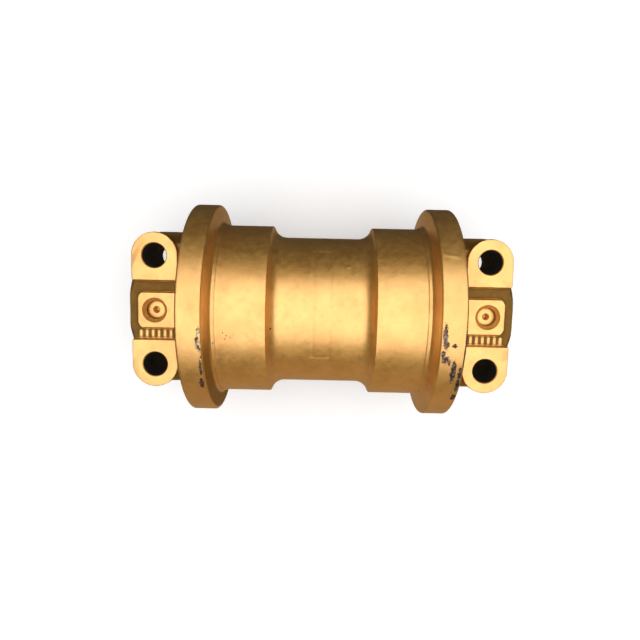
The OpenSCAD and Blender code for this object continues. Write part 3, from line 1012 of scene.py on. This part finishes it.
def build_washer(material):
    """The soft washer under the plug, with its edges rolled."""
    low, high = WASHER_LOW.y, WASHER_HIGH.y
    outline = arc(PLUG_HEAD_R - WASHER_ROLL, low + WASHER_ROLL, WASHER_ROLL, -90, 0, 3)
    outline += arc(PLUG_HEAD_R - WASHER_ROLL, high - WASHER_ROLL, WASHER_ROLL, 0, 90, 3)
    outline += [(WASHER_BORE_R, high), (WASHER_BORE_R, low)]
    washer = as_object(revolved(outline, ROUND_STEPS), "washer_rolled")
    soften(washer, WASHER_CREASE)
    return add_piece(washer, "axle", ["plug_washer"], material)


def finish_hidden_nodes():
    """Materials for the CAD nodes that stay: bushes, seal rings and rubber rings."""
    bronze = plain_metal("bush_bronze_turned", BRONZE, BRONZE_DEEP, TURNED_ROUGHNESS, turned=True)
    iron = plain_metal("seal_iron_lapped", IRON, IRON_DEEP, DULL_ROUGHNESS, turned=True)
    black = rubber("seal_rubber_black")
    looks = {"bush": bronze, "seal_ring": iron, "toric_ring": black, "o_ring": black}
    for name, node in NODES.items():
        for ending, material in looks.items():
            if name.endswith(ending):
                node.data.materials.clear()
                node.data.materials.append(material)


# ------------------------------------------------- stage, light and camera
FLOOR_Z = -FLANGE_R
FLOOR_SIZE = 6.0
FLOOR_COLOUR = (0.93, 0.93, 0.93, 1)
FLOOR_CLOUD = (0.90, 0.90, 0.90, 1)
FLOOR_CLOUD_SIZE = 0.4
FLOOR_ROUGHNESS = 0.9
FLOOR_GLOW_COLOUR = (1, 1, 1, 1)
FLOOR_GLOW = 0.15
KEY_AT = (0, 0.08, 1.1)
KEY_AIM = (0, 0, 0)
KEY_SIZE = (2.4, 2.4)
KEY_POWER = 36
BOUNCE_AT = (0.55, 0, FLOOR_Z + 0.02)
BOUNCE_AIM = (0.3, 0, 0.5)
BOUNCE_SIZE = (0.9, 1.6)
BOUNCE_POWER = 1.6
BOUNCE_COLOUR = (1.0, 0.66, 0.30)
ROOM_COLOUR = (1, 0.97, 0.94, 1)
ROOM_STRENGTH = 0.035
# The camera that was fitted to the photo's edges. Its sensor and lens are in millimetres.
CAMERA_AT = Vector((-0.04502, -0.00074, 0.49554))
CAMERA_FORWARD = Vector((0.11034, -0.00039, -0.99389))
CAMERA_UP = Vector((-0.99365, -0.02235, -0.11031))
CAMERA_SENSOR = 36.0
CAMERA_LENS = 29.78
CAMERA_CLIP = 0.02


def build_floor():
    """A plain pale floor under the flanges."""
    half = FLOOR_SIZE / 2
    bm = bmesh.new()
    corners = ((-half, -half), (half, -half), (half, half), (-half, half))
    bm.faces.new([bm.verts.new((x, y, FLOOR_Z)) for x, y in corners])
    floor = as_object(bm, "floor")
    material, tree, shader = new_tree("floor_pale")
    coords = object_coords(tree)[0]
    colour = blend_colours(tree, grain(tree, coords, FLOOR_CLOUD_SIZE), FLOOR_COLOUR, FLOOR_CLOUD)
    put(tree, shader.inputs["Base Color"], colour)
    put(tree, shader.inputs["Roughness"], FLOOR_ROUGHNESS)
    put(tree, shader.inputs["Emission Color"], FLOOR_GLOW_COLOUR)
    put(tree, shader.inputs["Emission Strength"], FLOOR_GLOW)
    floor.data.materials.append(material)
    floor.visible_glossy = False
    floor.visible_diffuse = False


def area_light(name, place, aim, size, power):
    """A soft rectangular light that the camera doesn't see."""
    data = bpy.data.lights.new(name, "AREA")
    data.shape = "RECTANGLE"
    data.size, data.size_y = size
    data.energy = power
    light = bpy.data.objects.new(name, data)
    light.location = place
    light.rotation_euler = (Vector(aim) - Vector(place)).to_track_quat("-Z", "Y").to_euler()
    light.visible_camera = False
    bpy.context.scene.collection.objects.link(light)
    return light


def build_lights():
    """A wide soft light overhead, a warm bounce low down on the +X side, and a dim room."""
    area_light("key", KEY_AT, KEY_AIM, KEY_SIZE, KEY_POWER)
    bounce = area_light("bounce", BOUNCE_AT, BOUNCE_AIM, BOUNCE_SIZE, BOUNCE_POWER)
    bounce.data.color = BOUNCE_COLOUR
    world = bpy.data.worlds.new("room")
    bpy.context.scene.world = world
    world.use_nodes = True
    background = world.node_tree.nodes["Background"]
    background.inputs["Color"].default_value = ROOM_COLOUR
    background.inputs["Strength"].default_value = ROOM_STRENGTH
    bpy.context.scene.view_settings.view_transform = "Standard"


def build_camera():
    """The photo's viewing angle: nearly straight down on the pads, with -X at the top of the picture."""
    data = bpy.data.cameras.new("camera")
    data.sensor_width = CAMERA_SENSOR
    data.lens = CAMERA_LENS
    data.clip_start = CAMERA_CLIP
    camera = bpy.data.objects.new("camera", data)
    forward = CAMERA_FORWARD.normalized()
    right = forward.cross(CAMERA_UP).normalized()
    matrix = Matrix((right, right.cross(forward), -forward)).transposed().to_4x4()
    matrix.translation = CAMERA_AT
    camera.matrix_world = matrix
    bpy.context.scene.collection.objects.link(camera)
    bpy.context.scene.camera = camera


build_camera()
build_lights()
build_floor()
shell_paint = gold_paint("shell_paint", shell_flank_shade, shell_chips, no_mask)
casting_paint = gold_paint("casting_paint", casting_shade, no_mask, bolt_hole_shade)
end_paint = gold_paint("end_paint", no_mask, no_mask, no_mask)
plug_steel = plain_metal("plug_steel", STEEL, STEEL_DEEP, TURNED_ROUGHNESS, turned=True)
copper = plain_metal("washer_copper_soft", COPPER, COPPER_DEEP, DULL_ROUGHNESS)
build_shell(shell_paint)
build_collar(LEFT, "left", casting_paint)
build_collar(RIGHT, "right", casting_paint)
build_shaft(end_paint)
build_pin(LEFT, "left", end_paint)
build_pin(RIGHT, "right", end_paint)
build_plug(plug_steel)
build_washer(copper)
finish_hidden_nodes()
